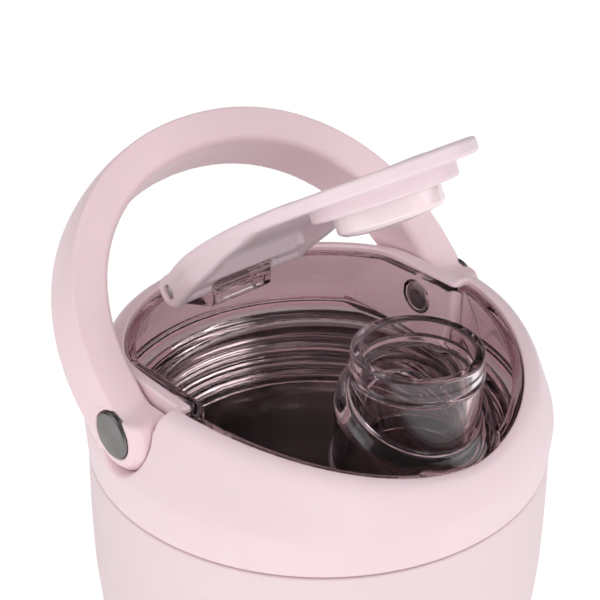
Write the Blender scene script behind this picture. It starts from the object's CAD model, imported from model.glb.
# A pink insulated cup with a whisk ball, and a lid with a clear spout insert, a bail handle
# and a flip cap held 30 degrees open. The cup's axis is Z and it stands on the table at z = 0.
# The spout is at the front (-Y), the cap hinge at the rear (+Y), handle pins and hinge rod lie
# along X, with left at -X. Shapes are in millimetres with height counted from the seam between
# cup and lid; put() turns them into metres above the table.
import math
from itertools import product

import bpy
import numpy as np
from mathutils import Matrix, Vector


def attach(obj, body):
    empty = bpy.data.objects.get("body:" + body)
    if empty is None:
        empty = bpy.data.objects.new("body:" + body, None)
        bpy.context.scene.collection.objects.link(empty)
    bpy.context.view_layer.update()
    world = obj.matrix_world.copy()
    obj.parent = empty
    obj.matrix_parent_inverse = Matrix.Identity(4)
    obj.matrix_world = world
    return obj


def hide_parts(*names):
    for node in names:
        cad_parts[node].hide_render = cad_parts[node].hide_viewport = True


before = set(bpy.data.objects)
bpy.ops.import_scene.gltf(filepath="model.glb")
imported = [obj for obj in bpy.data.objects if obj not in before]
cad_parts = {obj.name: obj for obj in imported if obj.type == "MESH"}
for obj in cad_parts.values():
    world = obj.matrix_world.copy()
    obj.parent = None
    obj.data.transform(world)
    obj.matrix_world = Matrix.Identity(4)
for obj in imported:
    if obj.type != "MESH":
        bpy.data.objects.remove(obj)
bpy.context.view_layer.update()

SCENE = bpy.context.scene
COARSEN = 1.0  # factor on all grid cells of the field meshes

MM = 0.001
SEAM = 165.0                           # seam above the table
CUP_FLOOR = -155.2                     # inside bottom of the liner
LINER_NECK = 40.9                      # inside radius of the liner behind its thread
THREAD_PITCH, THREAD_DEPTH = 4.0, 1.4
THREAD_TOP, THREAD_END = -1.5, -12.5
FLOOR_TOP, FLOOR_UNDER = 7.5, 5.0      # clear floor inside the collar
SPOUT_Y = -27.1
PIVOT_Y, PIVOT_Z = 5.5, 17.2           # handle pins
PIVOT_BORE = 2.8
LEAN = math.radians(45.6)              # lean of the handle
SIN_LEAN, COS_LEAN = math.sin(LEAN), math.cos(LEAN)
HINGE_Y, HINGE_Z = 27.4, 27.7          # cap hinge
HINGE_BORE = 1.62
CAP_REACH = HINGE_Y - SPOUT_Y          # hinge to the middle of the cap's round end
CAP_OPEN = math.radians(30)
SIN_OPEN, COS_OPEN = math.sin(CAP_OPEN), math.cos(CAP_OPEN)


# ============================================================ signed fields, negative inside
def meet(first, second, radius):
    """Intersection with a round convex edge."""
    return (np.minimum(-radius, np.maximum(first, second))
            + np.hypot(np.maximum(radius + first, 0), np.maximum(radius + second, 0)))


def join(first, second, radius):
    """Union with a round fillet."""
    return (np.maximum(radius, np.minimum(first, second))
            - np.hypot(np.maximum(radius - first, 0), np.maximum(radius - second, 0)))


def carve(field, tool, radius):
    """Takes the tool away and rounds the edge left behind."""
    return meet(field, -tool, radius)


def cut(field, tool):
    """Takes the tool away and leaves a sharp edge."""
    return np.maximum(field, -tool)


def soft_meet(first, second, width):
    """Intersection of two fields that meet at a wide angle, blended over a width."""
    blend = np.maximum(width - np.abs(first - second), 0) / width
    return np.maximum(first, second) + blend * blend * width * 0.25


def soft_join(first, second, width):
    return -soft_meet(-first, -second, width)


def smooth_step(start, end, value):
    ratio = np.clip((value - start) / (end - start), 0, 1)
    return ratio * ratio * (3 - 2 * ratio)


def lerp(start, end, ratio):
    return start + (end - start) * ratio


# ============================================================ mesh of a field
def grid_axis(low, high, step, fine):
    """Grid positions along one axis, closer together over fine = (from, to, step)."""
    if not fine:
        return np.linspace(low, high, int(math.ceil((high - low) / step)) + 1)
    fine_low, fine_high = max(low, fine[0]), min(high, fine[1])
    places = [low]
    for start, end, spacing in ((low, fine_low, step), (fine_low, fine_high, fine[2] * COARSEN),
                                (fine_high, high, step)):
        if end - start > 1e-6:
            count = max(2, int(math.ceil((end - start) / spacing)) + 1)
            places += list(np.linspace(start, end, count)[1:])
    return np.array(places)


def crossed_cells(field, axes):
    """One point per cell that the surface crosses, and a quad round each crossed grid edge."""
    counts = np.array([len(axis) for axis in axes])
    values = np.empty(counts, np.float32)
    for i in range(0, counts[0], 12):      # in slabs, to save memory
        values[i:i + 12] = field(*np.meshgrid(axes[0][i:i + 12], axes[1], axes[2], indexing="ij"))
    inside = values < 0
    filled = np.zeros(counts - 1, np.int8)
    for corner in product((0, 1), repeat=3):
        filled += inside[tuple(slice(c, c + n - 1) for c, n in zip(corner, counts))]
    cells = np.argwhere((filled > 0) & (filled < 8))
    index = np.full(counts - 1, -1, np.int32)
    index[tuple(cells.T)] = np.arange(len(cells))

    # a cell's point is the mean of the crossings on its edges
    points = np.zeros((len(cells), 3))
    crossings = np.zeros(len(cells))
    for axis in range(3):
        others = [k for k in range(3) if k != axis]
        for corner in product((0, 1), repeat=2):
            start = np.zeros(3, int)
            start[others] = corner
            end = start.copy()
            end[axis] = 1
            at_start = values[tuple((cells + start).T)].astype(float)
            at_end = values[tuple((cells + end).T)].astype(float)
            crossed = (at_start < 0) != (at_end < 0)
            ratio = at_start[crossed] / (at_start[crossed] - at_end[crossed])
            points[crossed] += start + ratio[:, None] * (end - start)
            crossings[crossed] += 1
    share = points / crossings[:, None]
    for k in range(3):
        near, far = axes[k][cells[:, k]], axes[k][cells[:, k] + 1]
        points[:, k] = near + share[:, k] * (far - near)

    quads = []
    for axis in range(3):
        head, tail = [slice(1, -1)] * 3, [slice(1, -1)] * 3
        head[axis], tail[axis] = slice(0, -1), slice(1, None)
        inside_head, inside_tail = inside[tuple(head)], inside[tuple(tail)]
        edges = np.argwhere(inside_head != inside_tail)
        ring = []
        for corner in ((0, 0), (1, 0), (1, 1), (0, 1)):
            cell = edges.copy()
            cell[:, (axis + 1) % 3] += corner[0]
            cell[:, (axis + 2) % 3] += corner[1]
            ring.append(index[tuple(cell.T)])
        quad = np.stack(ring, 1)
        inward = ~inside_head[tuple(edges.T)]
        quad[inward] = quad[inward][:, ::-1]
        quads.append(quad)
    return points, np.concatenate(quads)


def gradient(field, points, reach=0.04):
    slopes = np.empty_like(points)
    for k in range(3):
        shift = np.zeros(3)
        shift[k] = reach
        slopes[:, k] = (field(*(points + shift).T) - field(*(points - shift).T)) / (2 * reach)
    return slopes


def unit(vectors):
    return vectors / (np.linalg.norm(vectors, axis=1)[:, None] + 1e-12)


def onto_surface(field, points, passes, longest):
    for _ in range(passes):
        slopes = gradient(field, points)
        square = np.maximum((slopes * slopes).sum(1), 0.2)
        step = -slopes * (field(*points.T) / square)[:, None]
        length = np.linalg.norm(step, axis=1)
        step *= np.minimum(1, longest / np.maximum(length, 1e-9))[:, None]
        points = points + step
    return points


def field_mesh(field, low, high, step, fine=(None, None, None)):
    """Points, quads and normals of field = 0, with the points evened out along the surface."""
    step = step * COARSEN
    longest = 0.5 * step
    axes = [grid_axis(low[k], high[k], step, fine[k]) for k in range(3)]
    points, quads = crossed_cells(field, axes)
    points = onto_surface(field, points, 3, longest)
    edges = np.concatenate([quads[:, [k, (k + 1) % 4]] for k in range(4)])
    start, end = edges[:, 0], edges[:, 1]
    count = len(points)
    degree = np.bincount(start, minlength=count) + np.bincount(end, minlength=count)
    for _ in range(2):
        mean = np.empty_like(points)
        for k in range(3):
            mean[:, k] = (np.bincount(start, points[end, k], count)
                          + np.bincount(end, points[start, k], count)) / degree
        normals = unit(gradient(field, points))
        move = mean - points
        move -= (move * normals).sum(1)[:, None] * normals
        points = onto_surface(field, points + 0.6 * move, 2, longest)
    points = onto_surface(field, points, 2, longest)
    return points, quads, unit(gradient(field, points, 0.02))


# ============================================================ outlines, turned pieces, objects
def put(name, points, faces, material, body, slot, node, normals=None, sharp=None):
    """An object from points in millimetres above the seam; sharp is an edge angle in degrees."""
    mesh = bpy.data.meshes.new(name)
    world_points = (np.asarray(points, float) + np.array([0, 0, SEAM])) * MM
    mesh.vertices.add(len(points))
    mesh.vertices.foreach_set("co", world_points.astype(np.float32).ravel())
    sizes = [len(face) for face in faces]
    corners = np.concatenate(faces)
    mesh.loops.add(len(corners))
    mesh.loops.foreach_set("vertex_index", corners.astype(np.int32))
    mesh.polygons.add(len(sizes))
    starts = np.concatenate([[0], np.cumsum(sizes)[:-1]])
    mesh.polygons.foreach_set("loop_start", starts.astype(np.int32))
    mesh.update(calc_edges=True)
    mesh.validate()
    mesh.shade_smooth()
    if normals is not None:
        mesh.normals_split_custom_set_from_vertices([tuple(normal) for normal in normals])
    else:
        mesh.set_sharp_from_angle(angle=math.radians(sharp))
    piece = bpy.data.objects.new(name, mesh)
    SCENE.collection.objects.link(piece)
    mesh.materials.append(material)
    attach(piece, body)
    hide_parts(node)


def rounded(corners, steps=5, closed=False):
    """A line of (r, z) from corners (r, z, rounding radius), each turned into an arc."""
    places = [np.array(corner[:2], float) for corner in corners]
    count = len(places)
    line = []
    for i, place in enumerate(places):
        wanted = corners[i][2]
        if (not closed and i in (0, count - 1)) or wanted <= 0:
            line.append(tuple(place))
            continue
        back, ahead = places[i - 1] - place, places[(i + 1) % count] - place
        back_length, ahead_length = np.linalg.norm(back), np.linalg.norm(ahead)
        back, ahead = back / back_length, ahead / ahead_length
        half = math.acos(max(-1, min(1, float(back @ ahead)))) / 2
        if half > math.radians(87):
            line.append(tuple(place))
            continue
        trim = min(wanted / math.tan(half), 0.49 * back_length, 0.49 * ahead_length)
        radius = trim * math.tan(half)
        middle = back + ahead
        centre = place + middle / np.linalg.norm(middle) * radius / math.sin(half)
        start, end = place + back * trim - centre, place + ahead * trim - centre
        angle = math.acos(max(-1, min(1, float(start @ end) / radius / radius)))
        for k in range(steps + 1):
            ratio = k / steps
            arm = math.sin((1 - ratio) * angle) * start + math.sin(ratio * angle) * end
            line.append(tuple(centre + arm / max(math.sin(angle), 1e-9)))
    return line


def dense(line, step, closed=False):
    """Adds points along long straight runs, so that detail and shading stay even."""
    result = []
    count = len(line)
    for i in range(count if closed else count - 1):
        start, end = np.array(line[i], float), np.array(line[(i + 1) % count], float)
        parts = max(1, int(np.linalg.norm(end - start) / step))
        result += [tuple(start + (end - start) * k / parts) for k in range(parts)]
    if not closed:
        result.append(tuple(line[-1]))
    return result


def ring_angles(count):
    return 2 * math.pi * np.arange(count) / count


def spin(rows, count, centre=(0.0, 0.0), poles=(None, None), loop=False):
    """Turns (r, z) about Z: one line for all angles or one per angle. poles: end z on the axis."""
    rows = np.asarray(rows, float)
    if rows.ndim == 2:
        rows = np.repeat(rows[None], count, 0)
    length = rows.shape[1]
    angles = ring_angles(count)[:, None]
    radius = rows[:, :, 0]
    ring = np.stack([centre[0] + radius * np.cos(angles), centre[1] + radius * np.sin(angles),
                     rows[:, :, 1]], 2).reshape(-1, 3)
    here = np.arange(count)[:, None]
    there = (here + 1) % count
    low = np.arange(length if loop else length - 1)[None]
    high = (low + 1) % length
    quads = np.stack([here * length + low, there * length + low,
                      there * length + high, here * length + high], 2).reshape(-1, 4)
    faces = [tuple(quad) for quad in quads]
    points = [ring]
    tip = len(ring)
    for end, pole in zip((0, length - 1), poles):
        if pole is None:
            continue
        points.append(np.array([[centre[0], centre[1], pole]]))
        for i in range(count):
            near, far = i * length + end, (i + 1) % count * length + end
            faces.append((tip, far, near) if end == 0 else (tip, near, far))
        tip += 1
    return np.concatenate(points), faces


def outward(points, faces):
    """Turns all faces over if the closed mesh is inside out."""
    volume = 0.0
    for face in faces:
        first = points[face[0]]
        for k in range(1, len(face) - 1):
            volume += float(np.dot(first, np.cross(points[face[k]], points[face[k + 1]])))
    return faces if volume > 0 else [tuple(reversed(face)) for face in faces]


def turned(name, line, count, centre=(0.0, 0.0), matrix=None, sharp=40, **tags):
    """A turned piece from a line of (r, z) whose ends lie on the axis."""
    off_axis = [place for place in line if place[0] > 1e-9]
    points, faces = spin(off_axis, count, centre, (line[0][1], line[-1][1]))
    if matrix is not None:
        points = points @ matrix[:3, :3].T + matrix[:3, 3]
    put(name, points, outward(points, faces), sharp=sharp, **tags)


def turned_ring(name, loop, sharp=40, **tags):
    points, faces = spin(loop, 240, loop=True)
    put(name, points, outward(points, faces), sharp=sharp, **tags)


def along_x(side, y, z):
    """Lays a piece turned about Z along the X line through (y, z), its height towards side."""
    return np.array([[0, 0, side, 0], [1, 0, 0, y], [0, side, 0, z], [0, 0, 0, 1]], float)


# ============================================================ materials
class NodeTree:
    """Fills one shader tree. An input given as a socket is linked, any other is a value."""

    def __init__(self, tree):
        tree.nodes.clear()
        self.tree = tree

    def add(self, kind, inputs=None, **settings):
        node = self.tree.nodes.new("ShaderNode" + kind)
        for key, value in settings.items():
            setattr(node, key, value)
        for key, value in (inputs or {}).items():
            if isinstance(value, bpy.types.NodeSocket):
                self.tree.links.new(value, node.inputs[key])
            else:
                node.inputs[key].default_value = value
        return node.outputs

    def math(self, operation, *values):
        return self.add("Math", dict(enumerate(values)), operation=operation)[0]

    def vector(self, operation, *values):
        return self.add("VectorMath", dict(enumerate(values)), operation=operation)

    def remap(self, value, span, to=(0, 1), **settings):
        """Maps the range span onto the range to, clamped."""
        inputs = {0: value, 1: span[0], 2: span[1], 3: to[0], 4: to[1]}
        return self.add("MapRange", inputs, **settings)[0]

    def mix(self, share, first, second):
        return self.add("Mix", {0: share, 6: first, 7: second}, data_type="RGBA")[2]

    def noise(self, place, scale, detail=2.0, roughness=0.5):
        return self.add("TexNoise", {"Vector": place, "Scale": scale, "Detail": detail,
                                     "Roughness": roughness})[0]

    def bump(self, strength, distance, height):
        return self.add("Bump", {"Strength": strength, "Distance": distance,
                                 "Height": height})[0]


def new_material(name):
    """A material, its tree, and the object coordinates its textures use."""
    material = bpy.data.materials.new(name)
    material.use_nodes = True
    tree = NodeTree(material.node_tree)
    return material, tree, tree.add("TexCoord")["Object"]


def srgb(*levels):
    """Linear colour from 0-255 sRGB levels."""
    shares = [level / 255 for level in levels]
    return tuple(share / 12.92 if share <= 0.04045 else ((share + 0.055) / 1.055) ** 2.4
                 for share in shares) + (1.0,)


def scaled(colour, factor):
    """Colour times one factor, or one per channel."""
    return tuple(np.minimum(1.0, np.multiply(colour[:3], factor))) + (1.0,)


def moulded(name, colour, rough, grain=5200.0, bump=0.05, sss=0.12, coat=0.0, wear=0.10,
            peel=0.0, coat_rough=0.3, glow=0.0):
    """Moulded plastic or powder coat: tone drift, fine grain, pale worn edges, dark specks.

    peel is the share of coarse orange peel; glow lights the faces turned to the axis."""
    material, tree, place = new_material(name)
    drift = tree.noise(place, scale=26.0, detail=3.0, roughness=0.55)
    tone = tree.mix(tree.remap(drift, (0.3, 0.7)), scaled(colour, 0.975), scaled(colour, 1.02))
    mottle = tree.noise(place, scale=420.0, detail=4.0, roughness=0.6)
    tone = tree.mix(tree.remap(mottle, (0.35, 0.75), to=(0, 0.10)), tone,
                    scaled(colour, (0.93, 0.86, 0.88)))
    edge = tree.add("NewGeometry")["Pointiness"]
    tone = tree.mix(tree.remap(edge, (0.515, 0.60), to=(0, wear)), tone, scaled(colour, 1.12))
    # specks: small dots in one cell out of seven
    cell = tree.add("TexVoronoi", {"Vector": place, "Scale": 95.0, "Randomness": 1.0})
    speck = tree.remap(cell["Distance"], (0.012, 0.028), to=(1, 0))
    chosen = tree.math("GREATER_THAN", tree.add("SeparateColor", {0: cell["Color"]})[0], 0.86)
    speck = tree.math("MULTIPLY", speck, chosen)
    tone = tree.mix(tree.math("MULTIPLY", speck, 0.45), tone, scaled(colour, 0.45))
    height = tree.noise(place, scale=grain)
    if peel:
        skin = tree.noise(place, scale=1100.0, detail=1.0)
        height = tree.math("ADD", tree.math("MULTIPLY", height, 0.5),
                           tree.math("MULTIPLY", skin, peel))
    normal = tree.bump(bump, distance=0.0002, height=height)
    rub = tree.noise(place, scale=130.0, detail=5.0, roughness=0.65)
    roughness = tree.remap(rub, (0.3, 0.7), to=(rough - 0.045, rough + 0.045))
    inputs = {"Base Color": tone, "Roughness": roughness, "Normal": normal, "IOR": 1.46,
              "Subsurface Weight": sss, "Subsurface Scale": 1.0,
              "Subsurface Radius": (0.0016, 0.0008, 0.0009),
              "Coat Weight": coat, "Coat Roughness": coat_rough,
              "Sheen Weight": 0.06, "Sheen Roughness": 0.4}
    if glow:                               # daylight soaking through the wall
        flat = tree.vector("MULTIPLY", place, (1.0, 1.0, 0.0))[0]
        radial = tree.vector("NORMALIZE", flat)[0]
        facing = tree.vector("DOT_PRODUCT", tree.add("NewGeometry")["Normal"], radial)["Value"]
        inputs["Emission Color"] = (1.0, 0.58, 0.66, 1)
        inputs["Emission Strength"] = tree.remap(facing, (-0.35, -0.75), to=(0, glow))
    tree.add("OutputMaterial", {"Surface": tree.add("BsdfPrincipled", inputs)[0]})
    return material


def clear_plastic(name, tint, floor_height, ior=1.53):
    """Clear plastic: refracts to the eye, a plain window to shadow and diffuse rays.

    The level floor is mostly refraction without reflection."""
    material, tree, place = new_material(name)
    flow = tree.noise(place, scale=90.0)
    normal = tree.bump(0.08, distance=0.0004, height=flow)
    haze = tree.noise(place, scale=260.0, detail=5.0, roughness=0.7)
    rough = tree.remap(haze, (0.45, 0.8), to=(0.0, 0.05))
    tone = tree.mix(tree.remap(haze, (0.5, 0.8), to=(0, 0.25)), tint, scaled(tint, 0.94))
    look = {"Color": tone, "Roughness": rough, "IOR": ior, "Normal": normal}
    glass = tree.add("BsdfGlass", look)[0]
    look["Roughness"] = tree.math("ADD", rough, 0.02)
    soft = tree.add("BsdfRefraction", look)[0]
    height = tree.add("SeparateXYZ", {0: place})[2]
    facing = tree.add("SeparateXYZ", {0: tree.add("NewGeometry")["True Normal"]})[2]
    level = tree.remap(tree.math("ABSOLUTE", facing), (0.90, 0.97), to=(0, 0.85))
    away = tree.math("ABSOLUTE", tree.math("SUBTRACT", height, floor_height))
    on_floor = tree.math("MULTIPLY", level, tree.math("LESS_THAN", away, 0.0021))
    solid = tree.add("MixShader", {0: on_floor, 1: glass, 2: soft})[0]
    window = tree.add("BsdfTransparent", {"Color": (0.99, 0.985, 0.985, 1)})[0]
    path = tree.add("LightPath")
    thin = tree.math("MAXIMUM", path["Is Shadow Ray"], path["Is Diffuse Ray"])
    tree.add("OutputMaterial",
             {"Surface": tree.add("MixShader", {0: thin, 1: solid, 2: window})[0]})
    return material


def steel(name, colour, rough, lines, bump, axis=None, aniso=0.0, tangent=False, spread=0.08):
    """Steel with turning marks and smudges; lines is how close the marks are.

    axis is None for a wall round Z, or the (y, z) of a disc's X axis, in mm above the seam."""
    material, tree, place = new_material(name)
    centre = (0, axis[0] * MM, (axis[1] + SEAM) * MM) if axis else (0.0, 0.0, 0.0)
    offset = tree.vector("SUBTRACT", place, centre)[0]
    if axis is None:
        stretched = tree.vector("MULTIPLY", offset, (12.0, 12.0, lines))[0]
    else:
        _, across, up = tree.add("SeparateXYZ", {0: offset})
        square = tree.math("ADD", tree.math("MULTIPLY", across, across),
                           tree.math("MULTIPLY", up, up))
        radius = tree.math("SQRT", square)
        stretched = tree.add("CombineXYZ", {0: tree.math("MULTIPLY", radius, lines),
                                            1: tree.math("MULTIPLY", across, 160.0),
                                            2: tree.math("MULTIPLY", up, 160.0)})[0]
    marks = tree.noise(stretched, scale=1.0, detail=4.0, roughness=0.65)
    smudge = tree.noise(place, scale=140.0, detail=4.0, roughness=0.6)
    tone = tree.mix(tree.remap(marks, (0.3, 0.7)), scaled(colour, 0.90), scaled(colour, 1.06))
    tone = tree.mix(tree.remap(smudge, (0.45, 0.8), to=(0, 0.22)), tone, scaled(colour, 0.84))
    roughness = tree.math(
        "ADD", tree.remap(marks, (0.3, 0.7), to=(rough - spread / 2, rough + spread / 2)),
        tree.remap(smudge, (0.4, 0.8), to=(0, 0.05)))
    inputs = {"Base Color": tone, "Metallic": 1.0, "Roughness": roughness,
              "Normal": tree.bump(bump, distance=0.0001, height=marks), "Anisotropic": aniso}
    if tangent:
        inputs["Tangent"] = tree.add("Tangent", direction_type="RADIAL", axis="X")[0]
    tree.add("OutputMaterial", {"Surface": tree.add("BsdfPrincipled", inputs)[0]})
    return material


COLLAR_PINK = moulded("satin_pink_lid", srgb(238, 216, 222), rough=0.40, glow=0.085)
CAP_PINK = moulded("satin_pink_cap", srgb(239, 220, 226), rough=0.36, wear=0.06)
HANDLE_PINK = moulded("satin_pink_handle", srgb(240, 214, 219), rough=0.40, wear=0.08)
POWDER_COAT = moulded("powder_coat_pink", srgb(233, 213, 217), rough=0.50, grain=3600.0,
                      bump=0.09, sss=0.0, peel=0.8, wear=0.06)
PLUG_SILICONE = moulded("soft_plug_silicone", srgb(246, 229, 233), rough=0.26, grain=2500.0,
                        bump=0.012, sss=0.25, coat=0.7, wear=0.0, coat_rough=0.05)
GASKET_SILICONE = moulded("gasket_silicone", srgb(214, 206, 206), rough=0.45, grain=2000.0,
                          bump=0.04, sss=0.3, wear=0.0)
PAD_SILICONE = moulded("base_silicone", srgb(214, 188, 193), rough=0.62, grain=1800.0,
                       bump=0.14, sss=0.05, wear=0.05)
CLEAR = clear_plastic("clear_copolyester", tint=(0.985, 0.960, 0.968, 1.0),
                      floor_height=((FLOOR_TOP + FLOOR_UNDER) / 2 + SEAM) * MM)
LINER_STEEL = steel("polished_liner_steel", (0.66, 0.63, 0.62), rough=0.09, lines=2400.0,
                    bump=0.05, spread=0.09)
PIN_STEEL = steel("brushed_pin_left", (0.24, 0.232, 0.23), rough=0.30, lines=9000.0, bump=0.10,
                  axis=(PIVOT_Y, PIVOT_Z), aniso=0.85, tangent=True)
NUT_STEEL = steel("nut_steel", (0.62, 0.60, 0.60), rough=0.28, lines=5000.0, bump=0.08,
                  axis=(PIVOT_Y, PIVOT_Z), aniso=0.3, tangent=True)
ROD_STEEL = steel("hinge_pin_steel", (0.48, 0.45, 0.44), rough=0.34, lines=7000.0, bump=0.08,
                  axis=(HINGE_Y, HINGE_Z), aniso=0.3, tangent=True)
PLATE_STEEL = steel("base_plate_steel", (0.55, 0.54, 0.53), rough=0.32, lines=900.0, bump=0.10)
WIRE_STEEL = steel("whisk_wire_steel", (0.62, 0.61, 0.60), rough=0.20, lines=3200.0, bump=0.05)


# ============================================================ cup
def cup_radius(z):
    """Outside radius: nearly straight near the top, then a bowed taper to the base."""
    ratio = (z + 28) / (-158 + 28)
    taper = lerp(48.26, 36.3, ratio)
    taper = taper + 1.1 * np.sin(math.pi * np.clip(ratio, 0, 1)) * (1 - ratio)
    top = 48.0 + 0.4 * np.sin(math.pi * np.minimum(1.0, -z / 36.0))
    return lerp(top, taper, smooth_step(-20, -36, z))


def cup_shell_loop():
    """Outside from the top down, round the foot, and back up inside to the neck."""
    loop = rounded([(43.4, -0.2, 0), (cup_radius(-0.2), -0.2, 0.45), (cup_radius(-6), -6, 0)])
    loop += [(cup_radius(z), z) for z in np.linspace(-6.5, -157, 130)]
    loop += rounded([(cup_radius(-157), -157, 0), (36.0, -161.2, 1.6), (34.9, -164.0, 0.5),
                     (33.6, -164.0, 0.3), (33.5, -162.9, 0.1), (34.4, -162.5, 0)])[1:]
    loop += [(cup_radius(z) - 0.8, z) for z in np.linspace(-158, -2.2, 90)]
    loop += [(47.1, -1.3), (46.6, -1.0), (42.6, -1.0), (42.6, 1.9), (43.4, 1.9)]
    return dense(loop, 2.5, closed=True)


def thread_depth(angle, z, swing):
    """Depth of the shared thread, run out at both ends; swing is +0.5 or -0.5."""
    window = (smooth_step(THREAD_END, THREAD_END + 1.2, z)
              * (1 - smooth_step(THREAD_TOP - 1.2, THREAD_TOP, z)))
    wave = np.cos(2 * math.pi * z / THREAD_PITCH - angle)
    return THREAD_DEPTH * window * (0.5 + swing * wave)


LINER_WALL = np.array([                # (inside radius, z) from the base up to the neck
    (34.1, -146), (38.2, -110), (41.9, -70), (43.8, -40), (44.1, -26), (43.3, -20),
    (42.0, -16.5), (40.95, -14.0), (LINER_NECK, -13.0)])


def liner_radius(z):
    """Wall radius averaged over 3 mm each way, to smooth the table's corners."""
    return sum((4 - abs(shift)) * np.interp(z + shift, LINER_WALL[:, 1], LINER_WALL[:, 0])
               for shift in range(-3, 4)) / 16


def liner_mesh(count=256):
    below = [(8 * k / 6 + 0.4, CUP_FLOOR) for k in range(6)]
    below += rounded([(9, CUP_FLOOR, 0), (29.6, CUP_FLOOR, 5.5), (33.6, -148, 6),
                      (34.1, -146, 0)], 8)
    heights = [*np.linspace(-145, -19, 64), *np.linspace(-18.5, -13.2, 12)]
    below += [(liner_radius(z), z) for z in heights]
    thread_z = np.linspace(-12.9, -1.2, 96)
    above = rounded([(LINER_NECK, -1.0, 0), (LINER_NECK, 1.75, 0.35), (41.2, 2.3, 0.3),
                     (42.0, 2.3, 0.3), (42.3, 1.7, 0.3), (42.3, -2.0, 0)], 4)
    above += [(42.25, z) for z in (-4, -8, -11, -13.5)]
    above += [(43.6, -18), (44.9, -26), (44.6, -40), (42.7, -70), (39.0, -110), (34.9, -146),
              (32.6, -153.5), (28.5, -156.0), (12, -156.0)]
    start = len(below)
    end = start + len(thread_z)
    rows = np.zeros((count, end + len(above), 2))
    rows[:, :start] = below
    depth = thread_depth(ring_angles(count)[:, None], thread_z[None], swing=-0.5)
    rows[:, start:end, 0] = LINER_NECK - depth
    rows[:, start:end, 1] = thread_z
    rows[:, end:] = above
    points, faces = spin(rows, count, poles=(CUP_FLOOR, -156.0))
    return points, outward(points, faces)


turned_ring("cup_shell", cup_shell_loop(), sharp=38, material=POWDER_COAT,
            body="cup", slot="cup_powder_coat", node="cup_outer_shell")
put("cup_liner", *liner_mesh(), sharp=50, material=LINER_STEEL,
    body="cup", slot="polished_steel", node="cup_inner_liner")

BASE_PLATE = [(0, -161.45, 0), (14, -161.45, 0.5), (15, -161.55, 0.5), (32.9, -161.5, 0.25),
              (32.9, -162.3, 0.25), (0, -162.3, 0)]
GETTER = [(0, -158.9, 0), (5.2, -158.9, 0.2), (6.0, -159.6, 0.2), (6.0, -161.1, 0.15),
          (0, -161.1, 0)]
BASE_PAD = [                           # two shallow ring grooves in the underside
    (0, -162.7, 0), (31.7, -162.7, 0.4), (32.4, -163.4, 0.3), (32.4, -164.3, 0.3),
    (31.7, -165.0, 0.3), (29.4, -165.0, 0.15), (29.0, -164.6, 0.15), (27.4, -164.6, 0.15),
    (27.0, -165.0, 0.15), (19.4, -165.0, 0.15), (19.0, -164.6, 0.15), (17.4, -164.6, 0.15),
    (17.0, -165.0, 0.15), (0, -165.0, 0)]
turned("base_plate", rounded(BASE_PLATE, 3), 160, material=PLATE_STEEL,
       body="cup", slot="brushed_steel", node="cup_base_plate")
turned("getter_pellet", rounded(GETTER, 3), 64, material=PLATE_STEEL,
       body="cup", slot="brushed_steel", node="vacuum_getter")
turned("base_pad_ring", rounded(BASE_PAD, 3), 160, material=PAD_SILICONE,
       body="cup", slot="base_silicone", node="base_pad")

BALL_RADIUS, WIRE_RADIUS, BALL_GAP = 24.0, 1.1, 0.4


def whisk_ball(steps=720, sides=12, turns=6.0):
    """A wire wound up a sphere, its two ends rounded."""
    ratio = np.linspace(0, 1, steps)
    latitude = np.radians(lerp(-80, 80, ratio))
    longitude = 2 * math.pi * turns * ratio
    radial = np.stack([np.cos(latitude) * np.cos(longitude),
                       np.cos(latitude) * np.sin(longitude), np.sin(latitude)], 1)
    path = np.array([0, 0, CUP_FLOOR + BALL_GAP + BALL_RADIUS]) \
        + (BALL_RADIUS - WIRE_RADIUS) * radial
    along = np.gradient(path, axis=0)
    along /= np.linalg.norm(along, axis=1)[:, None]
    side = np.cross(along, radial)
    side /= np.linalg.norm(side, axis=1)[:, None]
    out = np.cross(side, along)
    # rings of the rounded ends: radius and distance from the very tip
    ends = [(WIRE_RADIUS * math.sin(angle), WIRE_RADIUS * (1 - math.cos(angle)))
            for angle in map(math.radians, (12, 35, 60, 80))]
    rings = [(path[0] + along[0] * inset, radius, 0) for radius, inset in ends]
    rings += [(path[i], WIRE_RADIUS, i) for i in range(3, steps - 3)]
    rings += [(path[-1] - along[-1] * inset, radius, -1) for radius, inset in reversed(ends)]
    points, faces = [], []
    for centre, radius, i in rings:
        for angle in ring_angles(sides):
            points.append(centre + radius * (math.cos(angle) * out[i] + math.sin(angle) * side[i]))
    last = (len(rings) - 1) * sides
    for start in range(0, last, sides):
        for k in range(sides):
            after = (k + 1) % sides
            faces.append((start + k, start + after,
                          start + sides + after, start + sides + k))
    faces.append(tuple(range(sides))[::-1])
    faces.append(tuple(range(last, last + sides)))
    points = np.array(points)
    return points, outward(points, faces)


put("whisk_wire_ball", *whisk_ball(), sharp=60, material=WIRE_STEEL,
    body="agitator", slot="polished_steel", node="whisk_ball")


# ============================================================ lid collar
def rim_heights(x, y):
    """Radius, and the rim's inner and outer edge heights: low in front, high at the sides."""
    radius = np.hypot(x, y) + 1e-9
    side = np.clip(np.abs(x) / radius, 0, 1)
    inner = np.where(y < 0, 14.8 + 9.2 * side ** 1.54, 22.5 + 1.5 * side ** 2)
    outer = np.where(y < 0, 11.9 + 10.7 * side ** 1.6, 21.7 + 0.9 * side ** 2)
    return radius, inner, outer


def bowl_radius(z):
    return 44.2 - 0.48 * (z - 13)


def collar_radius(z):
    return 48.5 - 0.4 * (z - 9.3)


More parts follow.
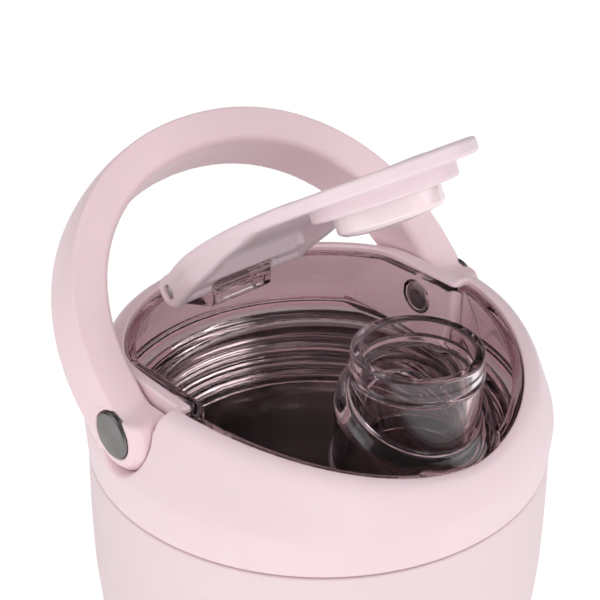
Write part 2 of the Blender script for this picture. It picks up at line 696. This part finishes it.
def cavity(x, y, z):
    """Inside space of the collar: a round cone cut back by a chord flat at each side."""
    radius = np.hypot(x, y)
    wall = (radius - bowl_radius(z)) / 1.109
    low = radius - np.minimum(45.6 + 0.22 * (7.5 - z), 46.1)
    beyond = np.abs(x) - 35.7
    flat = meet(meet(-beyond, -4.2 - y, 1.1), (7.5 - 0.2 * beyond) - z, 0.5)
    return carve(soft_meet(wall, low, 0.6), flat, 1.3)


def recess_side(y, z):
    """Side view of the recess for the handle's ears and legs."""
    off_y, off_z = y - PIVOT_Y, z - PIVOT_Z
    front = -8.0 - 0.9 * smooth_step(4.3, 7.6, off_z) - off_y
    rear = off_y * COS_LEAN - off_z * SIN_LEAN - 9.15
    strip = np.maximum(np.maximum(front, rear), -(0.383 * off_y + 0.924 * off_z))
    return np.minimum(np.hypot(off_y, off_z) - 8.15, strip)


def rim_crown(radius, z, inner, outer):
    """Height above the rim's top, a parabola from the outer wall over to the inner edge."""
    r_out, z_out = collar_radius(outer - 1.8), outer - 1.8
    r_mid, z_mid = collar_radius(outer) - 0.9, inner + 0.7
    bend, run, gap = r_out - 2 * r_mid + bowl_radius(inner), 2 * (r_mid - r_out), r_out - radius
    root = np.sqrt(np.maximum(run * run - 4 * bend * gap, 0))
    ratio = np.clip((-run - root) / (2 * bend), 0, 1)
    r_curve = r_out + run * ratio + bend * ratio * ratio
    z_curve = ((1 - ratio) ** 2 * z_out + 2 * ratio * (1 - ratio) * z_mid
               + ratio * ratio * inner)
    slope = ((2 * (1 - ratio) * (z_mid - z_out) + 2 * ratio * (inner - z_mid))
             / (run + 2 * bend * ratio))
    return (z - z_curve - slope * (radius - r_curve)) / np.sqrt(1 + slope ** 2)


def collar_field(x, y, z):
    radius, inner, outer = rim_heights(x, y)
    lower = radius - (48.0 + 0.5 * z / 9.3)
    upper = (radius - collar_radius(z)) / 1.077
    field = soft_meet(lower, upper, 1.1)
    field = soft_meet(field, rim_crown(radius, z, inner, outer), 0.6)
    field = carve(field, meet(38.5 - np.abs(x), recess_side(y, z), 0.5), 0.55)
    field = carve(field, cavity(x, y, z), 0.6)
    field = meet(field, 0.2 - z, 0.45)
    bore = np.hypot(y - PIVOT_Y, z - PIVOT_Z) - PIVOT_BORE
    return cut(field, np.maximum(bore, 30 - np.abs(x)))


points, quads, normals = field_mesh(collar_field, (-50, -50, -0.8), (50, 50, 26.5), 0.46)
put("lid_collar_shell", points, quads, COLLAR_PINK, normals=normals,
    body="lid", slot="lid_plastic", node="lid_collar")

# ============================================================ clear insert
KNUCKLE = [                            # (y, z) corners of the hinge knuckle's side view
    (24.25, 27.2), (24.25, 22.6), (25.2, 21.6), (40.2, 16.4), (38.7, 21.2), (29.05, 30.56)]


def knuckle_side(y, z):
    """Side view of the knuckle: round at the hinge axis, running down into the rear wall."""
    flats = [((y - y0) * (z1 - z0) - (z - z0) * (y1 - y0)) / math.hypot(y1 - y0, z1 - z0)
             for (y0, z0), (y1, z1) in zip(KNUCKLE, KNUCKLE[1:] + KNUCKLE[:1])]
    return np.minimum(np.hypot(y - HINGE_Y, z - HINGE_Z) - 3.3, np.maximum.reduce(flats))


def insert_bowl(x, y, z):
    """Bowl lining the collar, with the threaded skirt below it."""
    radius, inner, _ = rim_heights(x, y)
    space = cavity(x, y, z)
    field = meet(space + 0.3, z - (inner - 0.9), 0.5)
    field = meet(field, 4.8 - z, 0.3)
    field = carve(field, meet(space + 2.5, FLOOR_TOP - z, 1.6), 0.6)
    neck = 38.9 + smooth_step(1.5, 4.8, z) * 1.4
    reach = neck + thread_depth(np.arctan2(y, x), z, swing=0.5)
    field = join(field, np.maximum(radius - reach, z - 6.0) * 0.8, 0.6)
    inside = np.where(z > 2, 36.8 - (z - 2) * 0.543, 36.8 + 0.007 * (2 - z))
    field = carve(field, np.maximum((radius - inside) * 0.88, z - FLOOR_UNDER), 0.5)
    return meet(field, -13.6 - z, 0.4)


def insert_field(x, y, z):
    field = insert_bowl(x, y, z)
    # spout: tube with a small bead on a boss with a slanting shoulder, hollow underneath
    radius = np.hypot(x, y - SPOUT_Y)
    tube = meet(radius - 12.7, z - 32.3, 0.5)
    tube = join(tube, np.hypot(radius - 12.72, (z - 27.6) * 0.8) - 0.32, 0.4)
    shoulder = (z - (19.9 + 0.315 * (y - SPOUT_Y))) / 1.048
    boss = meet(radius - 15.5, shoulder, 2.6)
    field = join(field, meet(join(tube, boss, 0.9), FLOOR_UNDER + 0.2 - z, 0.2), 1.4)
    bottom = FLOOR_UNDER - 3 - z
    under = meet(meet(radius - 13.2, shoulder + 2.2, 2.2), bottom, 0.5)
    bore = np.minimum(radius - 10.0, np.maximum(radius - 10.7, 26.8 - z))
    field = carve(field, join(under, np.maximum(bore, bottom), 0.4), 0.45)
    # hinge knuckle, with a shallow round-cornered panel in its front face
    side = knuckle_side(y, z)
    knuckle = np.maximum(meet(side, np.abs(x) - 8.0, 0.5), 11.0 - z)
    field = join(field, knuckle, 0.5)
    slab = np.maximum(np.maximum(-(side + 0.55), y - 26.0), 21.0 - y)
    panel = np.maximum(meet(np.abs(x) - 5.8, np.abs(z - 24.3) - 1.2, 0.8), slab)
    field = carve(field, panel, 0.2)
    field = cut(field, np.hypot(y - HINGE_Y, z - HINGE_Z) - HINGE_BORE)
    nut = np.maximum(np.hypot(y - PIVOT_Y, z - PIVOT_Z) - 3.7, 34.3 - np.abs(x))
    return carve(field, nut, 0.2)


points, quads, normals = field_mesh(
    insert_field, (-46.5, -46.5, -14.4), (46.5, 46.5, 33.4), 0.62,
    fine=((-16.6, 16.6, 0.38), (-44.0, -10.5, 0.38), (7.0, 33.4, 0.42)))
put("lid_insert_clear", points, quads, CLEAR, normals=normals,
    body="lid", slot="clear_plastic", node="lid_insert")

GASKET = [(40.6, 2.65, 0.3), (42.7, 2.65, 0.3), (43.1, 3.5, 0.3), (42.7, 4.5, 0.3),
          (40.6, 4.5, 0.3), (40.2, 3.5, 0.3)]
turned_ring("lid_gasket_ring", rounded(GASKET, 4, closed=True), material=GASKET_SILICONE,
            body="lid_seal", slot="seal_silicone", node="lid_gasket")

# ============================================================ handle
ARCH_HALF, ARCH_RISE = 47.16, 46.76    # superellipse of the bail's outer line
ARCH_SPRING, ARCH_POWER = 7.63, 2.10   # where it starts above the pivot, and its exponent
BAIL_BACK, BAIL_CREASE, BAIL_FRONT = -8.74, 4.73, 3.98   # rear edge, front crease, front face


def dimple_centre(across, depth=7.7 + 1.0):
    """(x, place across, height) of a small sphere that dents the left arch from underneath."""
    height = (ARCH_SPRING + ARCH_RISE
              * (1 - (across / ARCH_HALF) ** ARCH_POWER) ** (1 / ARCH_POWER))
    normal_x = across ** (ARCH_POWER - 1) / ARCH_HALF ** ARCH_POWER
    normal_h = (height - ARCH_SPRING) ** (ARCH_POWER - 1) / ARCH_RISE ** ARCH_POWER
    length = math.hypot(normal_x, normal_h)
    return -(across - normal_x / length * depth), -2.2, height - normal_h / length * depth


DIMPLES = [dimple_centre(27.5), dimple_centre(29.2)]


def bail_coords(x, y, z):
    """Depth under the outer line, place across (front +), height up the leg, thickness."""
    off_y, off_z = y - PIVOT_Y, z - PIVOT_Z
    height = off_y * SIN_LEAN + off_z * COS_LEAN
    across = -(off_y * COS_LEAN - off_z * SIN_LEAN)
    rise = np.maximum(height - ARCH_SPRING, 0)
    part_x, part_h = np.abs(x) / ARCH_HALF + 1e-9, rise / ARCH_RISE
    total = part_x ** ARCH_POWER + part_h ** ARCH_POWER
    level = total ** (1 / ARCH_POWER)
    gain = total ** (1 / ARCH_POWER - 1)
    slope_x = gain * part_x ** (ARCH_POWER - 1) / ARCH_HALF
    slope_h = gain * part_h ** (ARCH_POWER - 1) / ARCH_RISE
    depth = -(level - 1) / np.hypot(slope_x, slope_h)
    return depth, across, height, lerp(8.29, 7.52, np.clip(rise / ARCH_RISE, 0, 1))


def bail_arm(depth, across, height, thick):
    middle, half = (BAIL_BACK + BAIL_CREASE) / 2, (BAIL_CREASE - BAIL_BACK) / 2
    share = (across - middle) / half
    bow = np.clip(share, -1.3, 1.3)
    crown = 0.06 * (share + 1) - 0.63 * (1 - bow ** 2)       # outer face, bowed outwards
    outer = (crown - depth) / np.sqrt(1 + (1.26 * bow / half) ** 2)
    lip = 0.2073 * (depth - 0.12) + 0.9784 * (across - BAIL_CREASE)   # strip at the crease
    front = soft_meet(lip, across - BAIL_FRONT, 0.35)
    front = meet(front, depth - thick, 1.3)
    rear = meet(BAIL_BACK - across, outer, 1.2)
    return meet(meet(front, rear, 0.40), -height - 0.8, 1.4)


def handle_field(x, y, z):
    depth, across, height, thick = bail_coords(x, y, z)
    arm = bail_arm(depth, across, height, thick)
    # round ear at the pivot, narrowing slightly into the recess
    side = np.abs(x)
    radius = np.hypot(across, height)
    face = side - 47.62
    cone = 0.70 * (radius - 6.2) + 0.714 * face
    barrel = radius - 7.95 - 0.07 * (side - 45.9)
    trim = (across + 1.0 * height - 5.9) / 1.414   # the ear's front runs up into the leg
    ear = meet(soft_meet(barrel, cone, 0.35), 39.1 - side, 0.6)
    ear = soft_meet(soft_meet(ear, trim, 1.0), face, 0.7)
    field = join(ear, arm, 0.8)
    field = carve(field, meet(radius - 4.92, 46.6 - side, 0.15), 0.3)   # seat of the pin head
    hole = np.maximum(radius - PIVOT_BORE, -height - 20)
    field = cut(field, np.maximum(hole, 30 - side))
    for at_x, at_across, at_height in DIMPLES:
        away = np.sqrt((x - at_x) ** 2 + (across - at_across) ** 2 + (height - at_height) ** 2)
        field = carve(field, away - 1.5, 0.25)
    return field


points, quads, normals = field_mesh(handle_field, (-48.6, -4, 7.6), (48.6, 53.5, 62.6), 0.46)
put("bail_handle", points, quads, HANDLE_PINK, normals=normals,
    body="handle", slot="handle_plastic", node="handle")

# (radius, distance from the mid plane, corner rounding)
PIN = [(0, 35.95, 0), (2.5, 35.95, 0.3), (2.5, 46.75, 0.15), (4.75, 46.75, 0.2),
       (4.75, 47.6, 0.10), (4.4, 48.0, 0.10), (3.5, 48.0, 0), (2.2, 48.0, 0), (1.0, 48.0, 0),
       (0, 48.0, 0)]
NUT = [(0, 34.4, 0), (1.8, 34.4, 0.5), (2.6, 34.6, 0.5), (3.3, 35.05, 0.3), (3.3, 35.6, 0.15),
       (0, 35.6, 0)]
for side, tag in ((-1, "left"), (1, "right")):
    placed = along_x(side, PIVOT_Y, PIVOT_Z)
    turned("pivot_pin_disc_" + tag, rounded(PIN, 3), 128, matrix=placed, sharp=25,
           material=PIN_STEEL, body="lid", slot="brushed_steel", node="pivot_pin_" + tag)
    turned("pivot_nut_cap_" + tag, rounded(NUT, 4), 96, matrix=placed, sharp=35,
           material=NUT_STEEL, body="lid", slot="brushed_steel", node="pivot_nut_" + tag)


# ============================================================ flip cap
def cap_field(x, y, z):
    """The cap in its own frame: ahead of the hinge towards the tip, up out of its top."""
    off_y, off_z = y - HINGE_Y, z - HINGE_Z
    ahead, up = -COS_OPEN * off_y + SIN_OPEN * off_z, SIN_OPEN * off_y + COS_OPEN * off_z
    side = np.abs(x)
    reach = np.maximum(ahead, 0)
    top = 3.3 + 8.1 * (1 - np.exp(-reach / 24.0))
    slope = 8.1 / 24.0 * np.exp(-reach / 24.0)
    steep = np.sqrt(1 + slope ** 2)
    # plate with a round end and a shallow dish over the spout
    half = 18.5 - 1.0 * (1 - smooth_step(4.5, 13.0, ahead))
    past = np.maximum(ahead - CAP_REACH, 0)
    round_end = np.hypot(x, past) - 18.9 + 0.4 * np.exp(-past / 4.0)
    outline = np.where(ahead > CAP_REACH, round_end, side - half)
    radius = np.hypot(x, ahead - CAP_REACH)
    dish = 0.55 * (1 - smooth_step(9.0, 17.4, radius))
    plate = meet((up - top + dish) / steep, (top - 2.9 - up) / steep, 0.6)
    plate = meet(plate, 4.2 - ahead, 0.5)
    field = meet(plate, outline, 0.75)
    # cheeks: deep near the hinge, running out into the plate towards the tip
    fall = np.exp(-reach / 19.7)
    low = np.maximum(0.285 * reach - 3.57, 9.2 - 19.16 * fall)
    low_slope = 19.16 / 19.7 * fall
    from_hinge = np.hypot(ahead, up)
    barrel = from_hinge - 3.4
    cheek = meet((up - top + 0.05) / steep, (low - up) / np.sqrt(1 + low_slope ** 2), 0.5)
    cheek = np.maximum(cheek, np.maximum(-ahead, ahead - 50.0))
    cheek = soft_join(cheek, barrel, 0.8)
    cheek = meet(meet(cheek, side - half, 0.8), 15.3 - side, 0.4)
    field = join(field, cheek, 0.5)
    # hinge lugs and the web between them, clear of the knuckle
    block = meet(np.maximum(-ahead, ahead - 6.3),
                 np.maximum(0.908 * (0.46 * reach - 3.1 - up), up - top + 1.0), 0.6)
    lug = meet(np.minimum(barrel, block), np.maximum(side - 16.0, 8.35 - side), 0.45)
    field = join(field, lug, 0.5)
    web = meet(np.maximum(3.0 - ahead, 0.724 * (ahead - 5.7) - 0.690 * (up + 0.9)),
               np.maximum(-0.9 - up, up - top + 1.0), 0.35)
    field = join(field, meet(web, side - 12.8, 0.3), 0.8)
    field = carve(field, np.maximum(from_hinge - 3.8, side - 8.35), 0.2)
    # skirt and plug socket
    skirt = meet(meet(radius - 14.2, 5.0 - up, 0.6), up - 9.5, 0.3)
    field = join(field, skirt, 0.45)
    field = cut(field, np.maximum(radius - 3.25, up - 8.75))
    return carve(field, from_hinge - HINGE_BORE, 0.25)


points, quads, normals = field_mesh(cap_field, (-19.8, -44.5, 22.0), (19.8, 32.4, 76.0), 0.42)
put("flip_cap_shell", points, quads, CAP_PINK, normals=normals,
    body="cap", slot="lid_plastic", node="flip_cap")

ROD = [(0, -16.8, 0), (1.45, -16.8, 0.25), (1.45, 16.8, 0.25), (0, 16.8, 0)]
turned("hinge_rod", dense(rounded(ROD, 4), 3.0), 64, matrix=along_x(1, HINGE_Y, HINGE_Z),
       material=ROD_STEEL, body="cap", slot="brushed_steel", node="hinge_pin")

# cap frame (x across, y towards the tip, z out of the cap's top) to lid frame
CAP_FRAME = np.array([[1, 0, 0, 0], [0, -COS_OPEN, SIN_OPEN, HINGE_Y],
                      [0, SIN_OPEN, COS_OPEN, HINGE_Z], [0, 0, 0, 1]], float)
PLUG = [(0, 0.1, 0), (4.0, 0.22, 6), (7.4, 0.62, 4), (9.35, 1.0, 0.7), (10.35, 1.75, 0.6),
        (10.4, 4.93, 0.2), (3.0, 4.93, 0.2), (3.0, 8.5, 0.4), (0, 8.5, 0)]
turned("spout_plug_dome", rounded(PLUG, 6), 160, centre=(0, CAP_REACH), matrix=CAP_FRAME,
       sharp=50, material=PLUG_SILICONE, body="plug", slot="plug_silicone", node="spout_plug")


# ============================================================ floor, light, camera (metres)
def floor_material(seen_glow=0.45, bounce_glow=0.33):
    """Pale floor that glows by one strength to the camera and another to other rays."""
    material, tree, place = new_material("studio_sweep")
    tone = tree.mix(tree.noise(place, scale=3.0), (0.86, 0.855, 0.855, 1), (0.885, 0.88, 0.88, 1))
    diffuse = tree.add("BsdfDiffuse", {"Color": tone})[0]
    seen = tree.add("Emission", {"Color": (1, 1, 1, 1), "Strength": seen_glow})[0]
    camera_ray = tree.add("LightPath")["Is Camera Ray"]
    bounce = tree.add("Emission", {"Color": (1, 0.985, 0.98, 1), "Strength": bounce_glow})[0]
    glow = tree.add("MixShader", {0: camera_ray, 1: bounce, 2: seen})[0]
    tree.add("OutputMaterial", {"Surface": tree.add("AddShader", {0: diffuse, 1: glow})[0]})
    return material


bpy.ops.mesh.primitive_circle_add(vertices=96, radius=6.0, fill_type="NGON",
                                  location=(0, 0, -0.0002))
floor = bpy.context.object
floor.name = "studio_floor"
floor.data.materials.append(floor_material())


def direction_to(azimuth, elevation):
    """Unit direction; the azimuth turns from -Y towards +X. Radians."""
    return (math.sin(azimuth) * math.cos(elevation), -math.cos(azimuth) * math.cos(elevation),
            math.sin(elevation))


world = bpy.data.worlds.new("studio")
SCENE.world = world
world.use_nodes = True
sky = NodeTree(world.node_tree)
VIEW = sky.add("TexCoord")["Generated"]


def lobe(azimuth, elevation, fade):
    """Soft patch of sky round a direction in degrees; fade is a span of cosines."""
    centre = direction_to(math.radians(azimuth), math.radians(elevation))
    cosine = sky.vector("DOT_PRODUCT", VIEW, centre)["Value"]
    return sky.remap(cosine, fade, to=(0.0, 1.0), interpolation_type="SMOOTHSTEP")


def pane(azimuths, elevations, soft):
    """Soft-edged rectangle of sky between two azimuths and two elevations, in degrees."""
    x, y, z = sky.add("SeparateXYZ", {0: VIEW})
    azimuth = sky.math("DEGREES", sky.math("ARCTAN2", x, sky.math("MULTIPLY", y, -1.0)))
    elevation = sky.math("DEGREES", sky.math("ARCSINE", z))
    mask = None
    for angle, edges in ((azimuth, azimuths), (elevation, elevations)):
        for edge, ends in zip(edges, ((0.0, 1.0), (1.0, 0.0))):
            side = sky.remap(angle, (edge - soft, edge + soft), to=ends,
                             interpolation_type="SMOOTHSTEP")
            mask = side if mask is None else sky.math("MULTIPLY", mask, side)
    return mask


diffuse_level = sky.math(
    "ADD", sky.remap(lobe(azimuth=-45, elevation=34, fade=(-0.8, 0.95)), (0, 1), to=(0.29, 0.66)),
    sky.math("MULTIPLY", lobe(azimuth=-34, elevation=6, fade=(0.45, 0.97)), 0.50))
glossy_level = sky.remap(lobe(azimuth=-10, elevation=10, fade=(-0.2, 1.0)), (0, 1),
                         to=(0.025, 0.08))
path = sky.add("LightPath")
# the panes have full strength only for rays that passed through the clear insert
deep = sky.remap(path["Transmission Depth"], (2, 4), to=(0.45, 1.0))
right_pane = sky.math("MULTIPLY", pane((5, 70), (12, 48), soft=4.0), 2.3)
left_pane = sky.math("MULTIPLY", pane((-150, -95), (5, 60), soft=6.0), 0.9)
panes = sky.math("ADD", right_pane, left_pane)
glossy_level = sky.math("ADD", glossy_level, sky.math("MULTIPLY", panes, deep))
mirrored = sky.math("MAXIMUM", path["Is Glossy Ray"], path["Is Transmission Ray"])
level = sky.add("Mix", {0: mirrored, 2: diffuse_level, 3: glossy_level}, data_type="FLOAT")[0]
level = sky.add("Mix", {0: path["Is Camera Ray"], 2: level, 3: 1.0}, data_type="FLOAT")[0]
backdrop = sky.add("Background", {"Color": (1.0, 0.99, 0.985, 1), "Strength": level})[0]
sky.add("OutputWorld", {"Surface": backdrop})


def softbox(name, azimuth, elevation, width, height, power, distance=0.9):
    """Area light aimed at the lid; angles in degrees."""
    target = Vector((0, 0, 0.18))
    toward = Vector(direction_to(math.radians(azimuth), math.radians(elevation)))
    place = target + toward * distance
    lamp = bpy.data.lights.new(name, "AREA")
    lamp.shape = "RECTANGLE"
    lamp.size, lamp.size_y = width, height
    lamp.energy = power
    light = bpy.data.objects.new(name, lamp)
    light.location = place
    light.rotation_euler = (target - place).to_track_quat("-Z", "Y").to_euler()
    SCENE.collection.objects.link(light)
    light.visible_camera = False


softbox("softbox_right", azimuth=52, elevation=34, width=0.55, height=0.55, power=1.0)
softbox("softbox_front", azimuth=-24, elevation=5, width=0.34, height=0.26, power=0.9)
softbox("softbox_left", azimuth=-112, elevation=28, width=0.5, height=0.8, power=1.2)

CAMERA_PLACE = (-0.165469, -0.179343, 0.332355)
AZIMUTH, ELEVATION, ROLL = -0.72865614, 0.509478662, 0.00516401917   # radians

lens = bpy.data.cameras.new("camera")
lens.sensor_width = 36.0
lens.lens = 83.8398
lens.clip_start = 0.01
camera = bpy.data.objects.new("camera", lens)
SCENE.collection.objects.link(camera)
back = Vector(direction_to(AZIMUTH, ELEVATION))
level_right = Vector((math.cos(AZIMUTH), math.sin(AZIMUTH), 0))
level_up = back.cross(level_right)
right = math.cos(ROLL) * level_right + math.sin(ROLL) * level_up
up = -math.sin(ROLL) * level_right + math.cos(ROLL) * level_up
camera.matrix_world = Matrix([(right[k], up[k], back[k], CAMERA_PLACE[k]) for k in range(3)]
                             + [(0, 0, 0, 1)])
SCENE.camera = camera

SCENE.view_settings.view_transform = "Standard"
SCENE.cycles.max_bounces = 18
SCENE.cycles.glossy_bounces = 10
SCENE.cycles.transmission_bounces = 14
SCENE.cycles.transparent_max_bounces = 24
SCENE.cycles.diffuse_bounces = 4
SCENE.cycles.caustics_refractive = False
SCENE.cycles.caustics_reflective = True
SCENE.cycles.sample_clamp_indirect = 4.0
